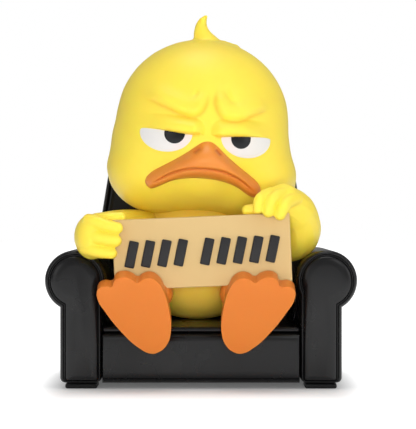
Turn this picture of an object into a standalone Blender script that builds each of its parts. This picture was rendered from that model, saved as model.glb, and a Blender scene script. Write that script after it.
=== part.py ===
# Desk figure: a grumpy toy duck that sits in an armchair and holds up a placard.
# Metres, +Z up. The figure faces -Y, and left and right are as seen from its front.

import math

import bmesh
import bpy
from mathutils import Matrix, Vector

MM = 0.001
SIDES = {"left": -1, "right": 1}

# Fit between pieces that meet
CLEARANCE = 0.3 * MM
CUT_REACH = 30 * MM

# Armchair
CHAIR_FRONT = -30 * MM
ARM_LENGTH = 66 * MM
ARM_SPACING = 80.8 * MM
ARM_ROLL_RADIUS = 9.8 * MM
ARM_ROLL_HEIGHT = 34.7 * MM
ARM_WIDTH = 13.8 * MM
ARM_INSIDE = 31.5 * MM
ARM_EDGE = 0.8 * MM
FACING_MARGIN = 1.9 * MM
FACING_THICKNESS = 1.0 * MM
PIPING_RADIUS = 0.55 * MM
PIPING_MARGIN = 0.5 * MM
UNDERSIDE = 2.0 * MM
SEAT_TOP = 17.8 * MM
SEAT_SETBACK = 1.5 * MM
SEAT_EDGE = 0.8 * MM
CUSHION_EDGE_HEIGHT = 1.6 * MM
CUSHION_CROWN = 1.2 * MM
CUSHION_ROUNDING = 0.7 * MM
BACK_THICKNESS = 15.4 * MM
BACK_TOP = 86 * MM
BACK_SHOULDER = 70 * MM
BACK_WAIST = 56 * MM
BACK_HALF_WIDTH = 35 * MM
BACK_SHOULDER_HALF_WIDTH = 32.5 * MM
BACK_LEAN = math.radians(4)
BACK_ROUNDING = 2.6 * MM
SEAT_DEPTH = 50 * MM
FOOT_PAD_SIZE = (10.3 * MM, 10 * MM)
FOOT_PAD_INSET = 1.9 * MM
FOOT_PAD_ROUNDING = 0.6 * MM

# Duck's body, whose heights are reckoned from the cushion's crown
SITTING_HEIGHT = SEAT_TOP + CLEARANCE + CUSHION_EDGE_HEIGHT + CUSHION_CROWN
BODY_X = -1.5 * MM
BELLY_SIZE = (44 * MM, 40 * MM, 35 * MM)
BELLY_Y = 0.5 * MM
CHEST_SIZE = (40 * MM, 33 * MM, 26 * MM)
CHEST_Y = -2 * MM
CHEST_RISE = 29.1 * MM
CHEST_HEIGHT = SITTING_HEIGHT + CHEST_RISE

# Head, in its own upright frame before it is tipped and turned
HEAD_X = 0.3 * MM
HEAD_Y = -4 * MM
HEAD_RISE = 35.2 * MM
HEAD_HEIGHT = CHEST_HEIGHT + HEAD_RISE
HEAD_DEPTH = 52 * MM
HEAD_ROLL = math.radians(5)
HEAD_YAW = math.radians(4)
SKULL_SIZE = (57.8 * MM, HEAD_DEPTH - 1 * MM, 54.8 * MM)
SKULL_RISE = 2 * MM
FACE_SIZE = (60.4 * MM, HEAD_DEPTH, 40 * MM)
FACE_DROP = 6 * MM
JOWL_SIZE = (36.8 * MM, HEAD_DEPTH - 12 * MM, 31.2 * MM)
JOWL_SPACING = 26.8 * MM
JOWL_SHIFT = 0.9 * MM
JOWL_DROP = 14 * MM
CHIN_SIZE = (44 * MM, HEAD_DEPTH - 6 * MM, 30.4 * MM)

# Raised folds on the head: x, z, radius, how far the fold's middle is sunk (mm)
LEFT_BROW = ((-17.4, 7.6, 1.4, 0.9), (-14.2, 7.2, 2.2, 1.0), (-9.5, 6.1, 2.8, 1.2), (-5.4, 4.9, 2.8, 1.1),
             (-2.9, 6.2, 2.4, 1.1), (-2.0, 8.6, 2.0, 1.1), (-2.4, 11.0, 1.2, 0.9))
RIGHT_BROW = ((20.0, 8.6, 1.4, 0.9), (15.0, 6.8, 2.4, 1.1), (10.0, 5.4, 2.8, 1.2), (6.6, 5.3, 2.6, 1.0),
              (4.7, 7.8, 2.2, 1.0), (5.2, 11.4, 1.2, 0.9))
LID = ((-20.6, -1.4, 2.0, 0.9), (-17.0, -0.9, 2.5, 0.9), (-12.5, -0.8, 2.8, 1.0), (-7.5, -0.9, 2.8, 0.9),
       (-3.6, -1.4, 2.0, 0.8))

# Feathers on the crown: x, y, height over the skull's top, radius (mm)
TUFT = ((0.2, -1.0, -3.8, 4.6), (-0.9, -1.0, -2.2, 4.0), (-2.1, -1.1, -0.6, 3.3), (-3.0, -1.2, 1.2, 2.5),
        (-3.4, -1.4, 3.3, 1.8), (-3.0, -1.6, 5.0, 1.2), (-2.2, -1.8, 6.3, 0.7))
COWLICK = ((4.0, -1.0, -3.8, 3.2), (7.6, -1.0, -4.0, 2.4))

# Eyes
EYE_SPACING = 26 * MM
EYE_LEVEL = -3.6 * MM
EYE_TURN = math.radians(23)
EYE_HALF_WIDTH = 9.1 * MM
EYE_HALF_HEIGHT = 6.3 * MM
EYE_BULGE = 0.5 * MM
EYE_DEPTH = 2.6 * MM
PUPIL_RADIUS = 3.25 * MM
PUPIL_SHIFT = 2.3 * MM
PUPIL_BULGE = 0.8 * MM
PUPIL_DEPTH = 1.2 * MM

# Beak: x, z, radius, how far the middle stands out of the face (mm)
UPPER_BILL = ((0.0, -6.6, 1.7, 0.0), (0.0, -10.3, 4.4, 1.6), (2.6, -11.1, 4.2, 1.5), (6.2, -12.9, 3.6, 1.1),
              (10.0, -15.0, 3.0, 0.9), (13.6, -17.3, 2.6, 0.7), (16.9, -19.4, 2.2, 0.5))
LOWER_BILL = ((0.0, -16.2, 1.9, 1.6), (4.5, -16.5, 1.9, 1.5), (8.9, -17.5, 1.8, 1.2), (12.6, -19.0, 1.8, 0.9),
              (15.8, -20.8, 1.8, 0.5))

# Placard and its raised marks
SIGN_SIZE = (56.5 * MM, 2.5 * MM, 22.4 * MM)
SIGN_RISE = 23.3 * MM
SIGN_CENTRE = Vector((0.4 * MM, -33.25 * MM, SITTING_HEIGHT + SIGN_RISE))
SIGN_TILT = math.radians(2.4)
SIGN_ROUNDING = 0.4 * MM
MARK_SIZE = (3.1 * MM, 0.9 * MM, 8.6 * MM)
MARK_PITCH = 5.2 * MM
MARK_GROUPS = (4, 5)
MARK_GROUP_GAP = 3.2 * MM
MARK_SLANT = math.radians(14)
MARK_ROUNDING = 0.4 * MM

# Duck's arms: x, y, z, radius (mm), the shoulders from the chest's middle and the rest from the placard's
LEFT_SHOULDER = (-16.0, -1.0, -0.5, 8.0)
RIGHT_SHOULDER = (20.0, -2.0, 1.0, 8.0)
LEFT_LIMB = ((-26.4, 19.25, 5.8, 7.6), (-32.8, 7.25, 5.0, 7.6))
RIGHT_LIMB = ((30.2, 16.25, 6.0, 7.8), (29.0, 8.75, 12.8, 6.6), (24.0, 2.85, 16.0, 5.9))
LEFT_THUMB = ((-33.4, 4.25, 10.2, 2.2), (-25.6, 3.85, 10.7, 1.9))
RIGHT_THUMB = ((18.6, 3.25, 15.8, 2.2), (14.6, 3.65, 13.6, 1.8))

# Fingers, whose y is reckoned from the line that the tips lie on in front of the placard
FINGERTIP = 2.1
FINGER_PITCH = 4.1 * MM
LEFT_FINGER_COUNT = 3
LEFT_FINGER = ((-35.4, 5.4, 0.3, 2.6), (-31.4, 0.5, 0.0, 2.3), (-26.8, 0.0, -0.2, FINGERTIP))

# Fingers over the placard's top edge: x and rise of the knuckle, x and rise of the tip (mm)
RIGHT_FINGERS = ((19.4, 7.0, 17.6, 2.9), (23.2, 7.8, 21.2, 1.7), (27.2, 6.8, 24.7, 0.7))

# Duck's legs: the sole's outline, from the middle between the heels (mm, left foot)
SOLE = ((-14.3, 0.0), (-18.1, 1.9), (-23.7, 7.5), (-28.4, 14.0), (-30.9, 18.6), (-30.9, 21.6), (-28.9, 22.9),
        (-26.4, 22.9), (-25.4, 25.0), (-23.0, 26.0), (-20.4, 25.4), (-18.4, 24.2), (-16.6, 25.3), (-14.3, 25.7),
        (-12.0, 24.4), (-10.2, 21.2), (-8.6, 15.0), (-8.0, 7.5), (-9.4, 2.9), (-11.8, 0.6))
FOOT_THICKNESS = 6.0 * MM
FOOT_ROUNDING = 1.3 * MM
FOOT_LEAN = math.radians(20)
HEEL_DROP = 8.8 * MM
HEEL_FRONT = -34.6 * MM
LEG = ((-12.4, -31.0, 10.3, 5.3), (-10.0, -14.0, 10.1, 5.6))

# Faceting of the soft forms: the grain of the skin, then its rounds of smoothing and its faces
GRAIN = {"blank_head": 1.8 * MM, "head": 0.9 * MM, "beak": 0.6 * MM, "torso": 1.5 * MM, "arm": 0.7 * MM,
         "leg": 0.7 * MM}
FACETING = {"blank_head": (14, 2200), "head": (2, 3300), "beak": (2, 1000), "torso": (4, 620), "arm": (2, 1150),
            "leg": (2, 850)}

COLOURS = {
    "yellow_vinyl": ((0.88, 0.72, 0.12), 0.38),
    "orange_vinyl": ((0.82, 0.26, 0.05), 0.4),
    "eye_white": ((0.86, 0.84, 0.82), 0.35),
    "pupil_black": ((0.015, 0.015, 0.018), 0.25),
    "placard_tan": ((0.76, 0.55, 0.27), 0.55),
    "mark_black": ((0.03, 0.03, 0.033), 0.5),
    "chair_black": ((0.03, 0.031, 0.034), 0.45),
}


def fresh_collections():
    for obj in list(bpy.data.objects):
        bpy.data.objects.remove(obj)
    found = {}
    for name in ("duck_figure", "cutters"):
        found[name] = bpy.data.collections.new(name)
        bpy.context.scene.collection.children.link(found[name])
    return found["duck_figure"], found["cutters"]


PARTS, CUTTERS = fresh_collections()


def material(name):
    found = bpy.data.materials.get(name)
    if found is None:
        colour, roughness = COLOURS[name]
        found = bpy.data.materials.new(name)
        found.use_nodes = True
        shader = found.node_tree.nodes["Principled BSDF"]
        shader.inputs["Base Color"].default_value = (*colour, 1)
        shader.inputs["Roughness"].default_value = roughness
        shader.inputs["Metallic"].default_value = 0
    return found


def new_object(name, mesh, collection=PARTS):
    obj = bpy.data.objects.new(name, mesh)
    collection.objects.link(obj)
    if collection == CUTTERS:
        obj.hide_render = True
        obj.display_type = "WIRE"
    return obj


def mesh_from(bm, name):
    mesh = bpy.data.meshes.new(name)
    bm.to_mesh(mesh)
    bm.free()
    return mesh


def settle(obj):
    # Replaces an object's mesh by what its modifiers make of it, in world space
    found = obj.evaluated_get(bpy.context.evaluated_depsgraph_get())
    mesh = bpy.data.meshes.new_from_object(found)
    mesh.transform(obj.matrix_world)
    obj.modifiers.clear()
    obj.matrix_world = Matrix.Identity(4)
    obj.data = mesh
    bpy.context.view_layer.update()
    return obj


def finish(obj, colour, angle=40):
    obj.data.materials.clear()
    obj.data.materials.append(material(colour))
    obj.data.shade_smooth()
    obj.data.set_sharp_from_angle(angle=math.radians(angle))
    return obj


def boolean(obj, other, operation="DIFFERENCE", solver="EXACT"):
    step = obj.modifiers.new(operation.title(), "BOOLEAN")
    step.operation = operation
    step.solver = solver
    step.object = other
    return settle(obj)


def grown(obj, margin=CLEARANCE):
    # A cutter that is the object made larger by an even margin on all its faces
    bm = bmesh.new()
    bm.from_mesh(obj.data)
    bmesh.ops.recalc_face_normals(bm, faces=bm.faces)
    moves = [vert.normal * margin * min(vert.calc_shell_factor(), 2) for vert in bm.verts]
    for vert, move in zip(bm.verts, moves):
        vert.co += move
    return new_object(obj.name + "_room", mesh_from(bm, obj.name + "_room"), CUTTERS)


def make_room(obj, *others):
    # The exact solver can lose a finely faceted skin, so these cuts use the manifold one
    for other in others:
        boolean(obj, grown(other), solver="MANIFOLD")
    return obj


def largest_body(obj):
    # Drops slivers that a cut leaves apart from the piece itself
    bm = bmesh.new()
    bm.from_mesh(obj.data)
    left = set(bm.verts)
    groups = []
    while left:
        group = set()
        front = [left.pop()]
        while front:
            vert = front.pop()
            group.add(vert)
            near = [edge.other_vert(vert) for edge in vert.link_edges]
            fresh = [other for other in near if other in left]
            left.difference_update(fresh)
            front.extend(fresh)
        groups.append(group)
    keep = max(groups, key=len)
    bmesh.ops.delete(bm, geom=[vert for vert in bm.verts if vert not in keep], context="VERTS")
    bm.to_mesh(obj.data)
    bm.free()
    return obj


def unit_ball(segments):
    name = f"unit_ball_{segments}"
    if name not in bpy.data.meshes:
        bm = bmesh.new()
        bmesh.ops.create_uvsphere(bm, u_segments=segments, v_segments=segments // 2, radius=1)
        mesh_from(bm, name).use_fake_user = True
    return bpy.data.meshes[name]


def add_ball(bm, centre, radii, segments=24):
    mesh = unit_ball(segments).copy()
    mesh.transform(Matrix.Translation(centre) @ Matrix.Diagonal((*radii, 1)))
    bm.from_mesh(mesh)
    bpy.data.meshes.remove(mesh)


def add_limb(bm, stations, segments=14):
    # A run of balls so close together that they read as one tapered limb
    for start, end in zip(stations, stations[1:]):
        start = Vector(start)
        end = Vector(end)
        length = (end - start).to_3d().length
        steps = max(1, math.ceil(length / (0.35 * min(start[3], end[3]))))
        for step in range(steps + 1):
            place = start.lerp(end, step / steps)
            add_ball(bm, place.to_3d(), (place[3],) * 3, segments)


def millimetres(stations):
    return [tuple(value * MM for value in station) for station in stations]


def fused(name, bm, kind):
    # Balls and limbs become one smooth skin
    rounds, faces = FACETING[kind]
    obj = new_object(name, mesh_from(bm, name))
    skin = obj.modifiers.new("Skin", "REMESH")
    skin.mode = "VOXEL"
    skin.voxel_size = GRAIN[kind]
    smooth = obj.modifiers.new("Smooth", "SMOOTH")
    smooth.factor = 0.5
    smooth.iterations = rounds
    settle(obj)
    thin = obj.modifiers.new("Thin", "DECIMATE")
    thin.ratio = faces / (2 * len(obj.data.polygons))
    thin.use_collapse_triangulate = True
    return settle(obj)


def block(name, size, centre, rounding, segments=2, turn=None):
    bm = bmesh.new()
    bmesh.ops.create_cube(bm, size=1, matrix=Matrix.Diagonal((*size, 1)))
    obj = new_object(name, mesh_from(bm, name))
    obj.matrix_world = Matrix.Translation(centre) @ (turn or Matrix.Identity(4))
    edge = obj.modifiers.new("Edge", "BEVEL")
    edge.width = rounding
    edge.segments = segments
    bpy.context.view_layer.update()
    return settle(obj)


def slab(name, outline, start, end, rounding, segments=2):
    # A flat outline in X and Z, given its thickness along Y from start to end
    curve = bpy.data.curves.new(name, "CURVE")
    curve.dimensions = "2D"
    curve.fill_mode = "BOTH"
    curve.extrude = (end - start) / 2
    spline = curve.splines.new("POLY")
    spline.points.add(len(outline) - 1)
    for point, (x, z) in zip(spline.points, outline):
        point.co = (x, z, 0, 1)
    spline.use_cyclic_u = True
    guide = new_object(name + "_outline", curve, CUTTERS)
    upright = Matrix.Translation((0, (start + end) / 2, 0)) @ Matrix.Rotation(math.radians(90), 4, "X")
    obj = meshed(guide, name, upright)
    edge = obj.modifiers.new("Edge", "BEVEL")
    edge.width = rounding
    edge.segments = segments
    edge.limit_method = "ANGLE"
    edge.angle_limit = math.radians(50)
    return settle(obj)


def meshed(guide, name, place):
    # Turns a curve into a closed mesh object and removes the curve
    bpy.context.view_layer.update()
    found = guide.evaluated_get(bpy.context.evaluated_depsgraph_get())
    mesh = bpy.data.meshes.new_from_object(found)
    bpy.data.objects.remove(guide)
    bm = bmesh.new()
    bm.from_mesh(mesh)
    bmesh.ops.remove_doubles(bm, verts=bm.verts, dist=0.00001)
    bmesh.ops.recalc_face_normals(bm, faces=bm.faces)
    bm.to_mesh(mesh)
    bm.free()
    mesh.transform(place)
    obj = new_object(name, mesh)
    bpy.context.view_layer.update()
    return obj


def bead(name, points, radius, closed):
    curve = bpy.data.curves.new(name, "CURVE")
    curve.dimensions = "3D"
    curve.bevel_depth = radius
    curve.bevel_resolution = 1
    curve.use_fill_caps = not closed
    spline = curve.splines.new("POLY")
    spline.points.add(len(points) - 1)
    for point, place in zip(spline.points, points):
        point.co = (*place, 1)
    spline.use_cyclic_u = closed
    return meshed(new_object(name + "_line", curve, CUTTERS), name, Matrix.Identity(4))


def join_into(obj, *others):
    for other in others:
        boolean(obj, other, "UNION")
        bpy.data.objects.remove(other)
    return obj


# Armchair

def arm_outline(margin, steps=14):
    # The scroll arm's front: a round roll on a straight post, drawn in from its edge by the margin
    roll = ARM_ROLL_RADIUS - margin
    inside = ARM_INSIDE + margin
    outside = ARM_INSIDE + ARM_WIDTH - margin
    bottom = UNDERSIDE + margin
    middle = ARM_SPACING / 2
    first = -math.acos(min(1, (outside - middle) / roll))
    last = math.pi + math.acos(min(1, (middle - inside) / roll))
    turns = [first + (last - first) * step / steps for step in range(steps + 1)]
    arc = [(middle + roll * math.cos(turn), ARM_ROLL_HEIGHT + roll * math.sin(turn)) for turn in turns]
    return [(inside, bottom), (outside, bottom)] + arc


def mirrored(points, side):
    return [(side * point[0], *point[1:]) for point in points]


def chair_arm(side_name):
    side = SIDES[side_name]
    name = "chair_arm_" + side_name
    body_front = CHAIR_FRONT + FACING_THICKNESS
    body = slab(name, mirrored(arm_outline(0), side), body_front, CHAIR_FRONT + ARM_LENGTH, ARM_EDGE)
    facing = slab("facing", mirrored(arm_outline(FACING_MARGIN), side), CHAIR_FRONT,
                  body_front + FACING_THICKNESS, 0.7 * FACING_THICKNESS)
    line = [(x, body_front, z) for x, z in mirrored(arm_outline(PIPING_MARGIN), side)]
    piping = bead("piping", line, PIPING_RADIUS, True)
    return finish(join_into(body, facing, piping), "chair_black")


def seat_base():
    front = CHAIR_FRONT + SEAT_SETBACK
    width = 2 * (ARM_INSIDE - CLEARANCE - max(0, PIPING_RADIUS - PIPING_MARGIN))
    size = (width, SEAT_DEPTH, SEAT_TOP - UNDERSIDE)
    centre = (0, front + SEAT_DEPTH / 2, (SEAT_TOP + UNDERSIDE) / 2)
    body = block("seat_base", size, centre, SEAT_EDGE)
    low = UNDERSIDE + SEAT_EDGE
    reach = width / 2 - SEAT_EDGE
    welt = bead("welt", [(-reach, front, low), (reach, front, low)], PIPING_RADIUS, False)
    return finish(join_into(body, welt), "chair_black")


def seat_cushion():
    low = SEAT_TOP + CLEARANCE
    half_width = ARM_INSIDE - CLEARANCE
    front = CHAIR_FRONT + SEAT_SETBACK + CLEARANCE
    half_depth = (SEAT_DEPTH - CLEARANCE) / 2
    centre = (0, front + half_depth, low + CUSHION_EDGE_HEIGHT / 2)
    size = (2 * half_width, 2 * half_depth, CUSHION_EDGE_HEIGHT)
    obj = block("seat_cushion", size, centre, CUSHION_ROUNDING)
    bm = bmesh.new()
    bm.from_mesh(obj.data)
    top = [face for face in bm.faces if face.normal.z > 0.99]
    edges = {edge for face in top for edge in face.edges}
    bmesh.ops.subdivide_edges(bm, edges=list(edges), cuts=7, use_grid_fill=True)
    for vert in bm.verts:
        across = (vert.co.x / half_width) ** 2
        along = ((vert.co.y - centre[1]) / half_depth) ** 2
        if vert.co.z > centre[2]:
            vert.co.z += CUSHION_CROWN * max(0, 1 - across) * max(0, 1 - along)
    bm.to_mesh(obj.data)
    bm.free()
    return finish(obj, "chair_black")


def backrest_outline(steps=8):
    # Between the arms it follows their inner sides and rolls, above them it ends in a round top
    neck = ARM_INSIDE - CLEARANCE
    middle = ARM_SPACING / 2
    hug = ARM_ROLL_RADIUS + CLEARANCE
    first = math.pi + math.acos(min(1, (middle - neck) / hug))
    last = math.pi - math.acos(min(1, (middle - BACK_HALF_WIDTH) / hug))
    half = [(neck, UNDERSIDE)]
    for step in range(steps + 1):
        turn = first + (last - first) * step / steps
        half.append((middle + hug * math.cos(turn), ARM_ROLL_HEIGHT + hug * math.sin(turn)))
    half.append((BACK_HALF_WIDTH, BACK_WAIST))
    for step in range(steps):
        turn = math.pi / 2 * step / steps
        x = BACK_SHOULDER_HALF_WIDTH * math.cos(turn)
        half.append((x, BACK_SHOULDER + (BACK_TOP - BACK_SHOULDER) * math.sin(turn)))
    return half + [(0, BACK_TOP)] + [(-x, z) for x, z in reversed(half)]


def backrest():
    front = CHAIR_FRONT + SEAT_SETBACK + SEAT_DEPTH + CLEARANCE
    obj = slab("backrest", backrest_outline(), front, front + BACK_THICKNESS, BACK_ROUNDING)
    lean = Matrix.Identity(4)
    lean[1][2] = math.tan(BACK_LEAN)
    lift = Matrix.Translation((0, 0, UNDERSIDE))
    obj.data.transform(lift @ lean @ lift.inverted())
    return finish(obj, "chair_black")


def foot_pads():
    width, depth = FOOT_PAD_SIZE
    height = UNDERSIDE - CLEARANCE
    middle = ARM_INSIDE + FOOT_PAD_INSET + width / 2
    ends = {"front": CHAIR_FRONT + FACING_THICKNESS + depth / 2 + FOOT_PAD_INSET,
            "rear": CHAIR_FRONT + ARM_LENGTH - depth / 2 - FOOT_PAD_INSET}
    for end, y in ends.items():
        for side_name, side in SIDES.items():
            pad = block(f"chair_foot_{end}_{side_name}", (width, depth, height), (side * middle, y, height / 2),
                        FOOT_PAD_ROUNDING)
            finish(pad, "chair_black")


# Duck

def head_place():
    roll = Matrix.Rotation(HEAD_ROLL, 4, "Y")
    yaw = Matrix.Rotation(HEAD_YAW, 4, "Z")
    return Matrix.Translation((HEAD_X, HEAD_Y, HEAD_HEIGHT)) @ roll @ yaw


def head_balls():
    # Centre and half sizes of the balls that the head is built up from
    balls = [(Vector((0, 0, SKULL_RISE)), SKULL_SIZE), (Vector((0, 0, -FACE_DROP)), FACE_SIZE),
             (Vector((0, 0, -JOWL_DROP)), CHIN_SIZE)]
    for side in SIDES.values():
        balls.append((Vector((side * JOWL_SPACING / 2 + JOWL_SHIFT, 0, -JOWL_DROP)), JOWL_SIZE))
    return [(centre, Vector(size) / 2) for centre, size in balls]


def face_depth(x, z):
    # How far forward the plain head reaches at this place on the face
    depth = 0
    for centre, radii in head_balls():
        inside = 1 - ((x - centre.x) / radii.x) ** 2 - ((z - centre.z) / radii.z) ** 2
        if inside > 0:
            depth = max(depth, radii.y * math.sqrt(inside) - centre.y)
    return depth


def on_face(stations, outward):
    # Stations of x, z, radius and depth become x, y, z and radius on the face
    found = []
    for x, z, radius, depth in millimetres(stations):
        found.append((x, -face_depth(x, z) - outward * depth, z, radius))
    return found


def on_crown(stations):
    crown = SKULL_RISE + SKULL_SIZE[2] / 2
    return [(x, y, crown + rise, radius) for x, y, rise, radius in millimetres(stations)]


def plain_head():
    bm = bmesh.new()
    for centre, radii in head_balls():
        add_ball(bm, centre, radii, 48)
    return bm


def eye_prism(name, half_width, half_height, shift, front, back, side):
    # A half oval, cut straight along the eyelid, that runs through the face from front to back
    bm = bmesh.new()
    bmesh.ops.create_cone(bm, cap_ends=True, segments=28, radius1=1, radius2=1, depth=1)
    bmesh.ops.transform(bm, verts=bm.verts, matrix=Matrix.Rotation(math.radians(90), 4, "X"))
    middle = (front + back) / 2
    bmesh.ops.transform(bm, verts=bm.verts, matrix=Matrix.Translation((shift, middle, 0))
                        @ Matrix.Diagonal((half_width, back - front, half_height, 1)))
    cut = bmesh.ops.bisect_plane(bm, geom=bm.verts[:] + bm.edges[:] + bm.faces[:], plane_co=(0, 0, 0),
                                 plane_no=(0, 0, 1), clear_outer=True)
    rim = [item for item in cut["geom_cut"] if isinstance(item, bmesh.types.BMEdge)]
    bmesh.ops.contextual_create(bm, geom=rim)
    bmesh.ops.recalc_face_normals(bm, faces=bm.faces)
    obj = new_object(name, mesh_from(bm, name), CUTTERS)
    x = side * EYE_SPACING / 2
    surface = Vector((x, -face_depth(x, EYE_LEVEL), EYE_LEVEL))
    place = Matrix.Translation(surface) @ Matrix.Rotation(side * EYE_TURN, 4, "Z")
    obj.data.transform(head_place() @ place)
    return obj


def eye_piece(name, prism, form, colour):
    obj = new_object(name, prism.data.copy())
    boolean(obj, form, "INTERSECT")
    return finish(obj, colour)


def head_and_eyes():
    blank = fused("blank_head", plain_head(), "blank_head")
    bm = bmesh.new()
    bm.from_mesh(blank.data)
    blank.data.transform(head_place())
    add_limb(bm, on_face(LEFT_BROW, -1))
    add_limb(bm, on_face(RIGHT_BROW, -1))
    for side in SIDES.values():
        add_limb(bm, on_face(mirrored(LID, -side), -1))
    add_limb(bm, on_crown(TUFT))
    add_limb(bm, on_crown(COWLICK))
    head = fused("head", bm, "head")
    head.data.transform(head_place())
    white_form = grown(blank, EYE_BULGE)
    pupil_form = grown(blank, EYE_BULGE + PUPIL_BULGE)
    for side_name, side in SIDES.items():
        nose = -side * PUPIL_SHIFT
        white = eye_prism("white_shape", EYE_HALF_WIDTH, EYE_HALF_HEIGHT, 0, -CUT_REACH, EYE_DEPTH, side)
        pupil = eye_prism("pupil_shape", PUPIL_RADIUS, PUPIL_RADIUS, nose, -CUT_REACH, PUPIL_DEPTH, side)
        white_piece = eye_piece("eye_white_" + side_name, white, white_form, "eye_white")
        eye_piece("pupil_" + side_name, pupil, pupil_form, "pupil_black")
        boolean(head, grown(white))
        boolean(white_piece, grown(pupil))
    finish(largest_body(head), "yellow_vinyl")
    bpy.data.collections["duck_figure"].objects.unlink(blank)
    CUTTERS.objects.link(blank)
    blank.hide_render = True
    blank.display_type = "WIRE"
    return head, blank


def beak(blank):
    bm = bmesh.new()
    for side in SIDES.values():
        add_limb(bm, on_face(mirrored(UPPER_BILL, side), 1))
        add_limb(bm, on_face(mirrored(LOWER_BILL, side), 1))
    obj = fused("beak", bm, "beak")
    obj.data.transform(head_place())
    make_room(obj, blank)
    return finish(largest_body(obj), "orange_vinyl")


def torso(cushion, head):
    bm = bmesh.new()
    belly = Vector(BELLY_SIZE) / 2
    add_ball(bm, (BODY_X, BELLY_Y, SITTING_HEIGHT + belly.z), belly, 32)
    add_ball(bm, (BODY_X, CHEST_Y, CHEST_HEIGHT), Vector(CHEST_SIZE) / 2, 32)
    obj = fused("torso", bm, "torso")
    make_room(obj, cushion, head)
    return finish(largest_body(obj), "yellow_vinyl")


def at_chest(station):
    x, y, z, radius = millimetres([station])[0]
    return BODY_X + x, CHEST_Y + y, CHEST_HEIGHT + z, radius


def at_placard(stations, front=0, rise=0):
    x, y, z = SIGN_CENTRE
    return [(x + across, y + front + depth, z + rise + up, radius)
            for across, depth, up, radius in millimetres(stations)]


def fingertip_line():
    # How far before the placard's middle the fingertips' centres lie, clear of its front
    return -(SIGN_SIZE[1] / 2 + CLEARANCE + FINGERTIP * MM)


def left_fingers():
    heights = [step * FINGER_PITCH for step in range(LEFT_FINGER_COUNT)]
    return [at_placard(LEFT_FINGER, fingertip_line(), height) for height in heights]


def right_fingers():
    found = []
    for knuckle, high, tip, low in RIGHT_FINGERS:
        line = ((knuckle - 0.2, 3.7, high, 2.3), (knuckle - 1.2, 0.8, high - 2.6, 2.1), (tip, 0, low, 1.9))
        found.append(at_placard(line, fingertip_line(), SIGN_SIZE[2] / 2))
    return found


def duck_arm(name, shoulder, limb, fingers, thumb, *neighbours):
    bm = bmesh.new()
    add_limb(bm, [at_chest(shoulder)] + at_placard(limb), 20)
    for finger in fingers:
        add_limb(bm, finger)
    add_limb(bm, at_placard(thumb))
    obj = fused(name, bm, "arm")
    make_room(obj, *neighbours)
    return finish(largest_body(obj), "yellow_vinyl")


def sole_curve(name):
    curve = bpy.data.curves.new(name, "CURVE")
    curve.dimensions = "2D"
    curve.fill_mode = "BOTH"
    curve.extrude = FOOT_THICKNESS / 2 - FOOT_ROUNDING
    curve.bevel_depth = FOOT_ROUNDING
    curve.bevel_resolution = 2
    curve.offset = -FOOT_ROUNDING
    curve.resolution_u = 4
    spline = curve.splines.new("BEZIER")
    spline.bezier_points.add(len(SOLE) - 1)
    for point, (x, rise) in zip(spline.bezier_points, SOLE):
        point.co = (x * MM, rise * MM, 0)
        point.handle_left_type = "AUTO"
        point.handle_right_type = "AUTO"
    spline.use_cyclic_u = True
    return new_object(name, curve, CUTTERS)


def duck_leg(side_name, *neighbours):
    # The foot's flat sole faces forward, and its toes lean out over the heel
    upright = Matrix.Rotation(math.radians(90) + FOOT_LEAN, 4, "X")
    inner = Matrix.Translation((0, 0, -FOOT_THICKNESS / 2))
    place = Matrix.Translation((BODY_X, HEEL_FRONT, SITTING_HEIGHT - HEEL_DROP)) @ upright @ inner
    foot = meshed(sole_curve("sole_line"), "foot", place)
    bm = bmesh.new()
    bm.from_mesh(foot.data)
    bpy.data.objects.remove(foot)
    add_limb(bm, [(BODY_X + x, y, SITTING_HEIGHT + z, radius) for x, y, z, radius in millimetres(LEG)], 20)
    if SIDES[side_name] > 0:
        across = Matrix.Translation((2 * BODY_X, 0, 0)) @ Matrix.Diagonal((-1, 1, 1, 1))
        bmesh.ops.transform(bm, verts=bm.verts, matrix=across)
        bmesh.ops.reverse_faces(bm, faces=bm.faces)
    obj = fused("leg_" + side_name, bm, "leg")
    make_room(obj, *neighbours)
    return finish(largest_body(obj), "orange_vinyl")


# Placard

def sign_turn():
    return Matrix.Rotation(-SIGN_TILT, 4, "Y")


def sign_board():
    obj = block("sign_board", SIGN_SIZE, SIGN_CENTRE, SIGN_ROUNDING, 1, sign_turn())
    return finish(obj, "placard_tan")


def sign_marks():
    # Two groups of slanted bars, with the gap between the groups in the placard's middle
    width, depth, height = MARK_SIZE
    places = []
    start = 0
    for count in MARK_GROUPS:
        places += [start + MARK_PITCH * step for step in range(count)]
        start = places[-1] + MARK_PITCH + MARK_GROUP_GAP
    middle = (places[0] + places[-1]) / 2
    front = -SIGN_SIZE[1] / 2 - CLEARANCE - depth / 2
    for number, place in enumerate(places, 1):
        turn = sign_turn()
        centre = SIGN_CENTRE + turn @ Vector((place - middle, front, 0))
        slant = turn @ Matrix.Rotation(MARK_SLANT, 4, "Y")
        mark = block(f"sign_mark_{number}", (width, depth, height), centre, MARK_ROUNDING, 1, slant)
        finish(mark, "mark_black")


def build():
    chair_arms = {side_name: chair_arm(side_name) for side_name in SIDES}
    base = seat_base()
    cushion = seat_cushion()
    backrest()
    foot_pads()
    head, blank = head_and_eyes()
    bill = beak(blank)
    body = torso(cushion, head)
    board = sign_board()
    sign_marks()
    duck_arm("arm_left", LEFT_SHOULDER, LEFT_LIMB, left_fingers(), LEFT_THUMB,
             body, head, board, chair_arms["left"])
    duck_arm("arm_right", RIGHT_SHOULDER, RIGHT_LIMB, right_fingers(), RIGHT_THUMB,
             body, head, bill, board, chair_arms["right"])
    for side_name in SIDES:
        duck_leg(side_name, body, board, cushion, base)


build()
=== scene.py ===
import math

import bpy
import numpy as np
from mathutils import Matrix, Vector
from mathutils.bvhtree import BVHTree


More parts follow.
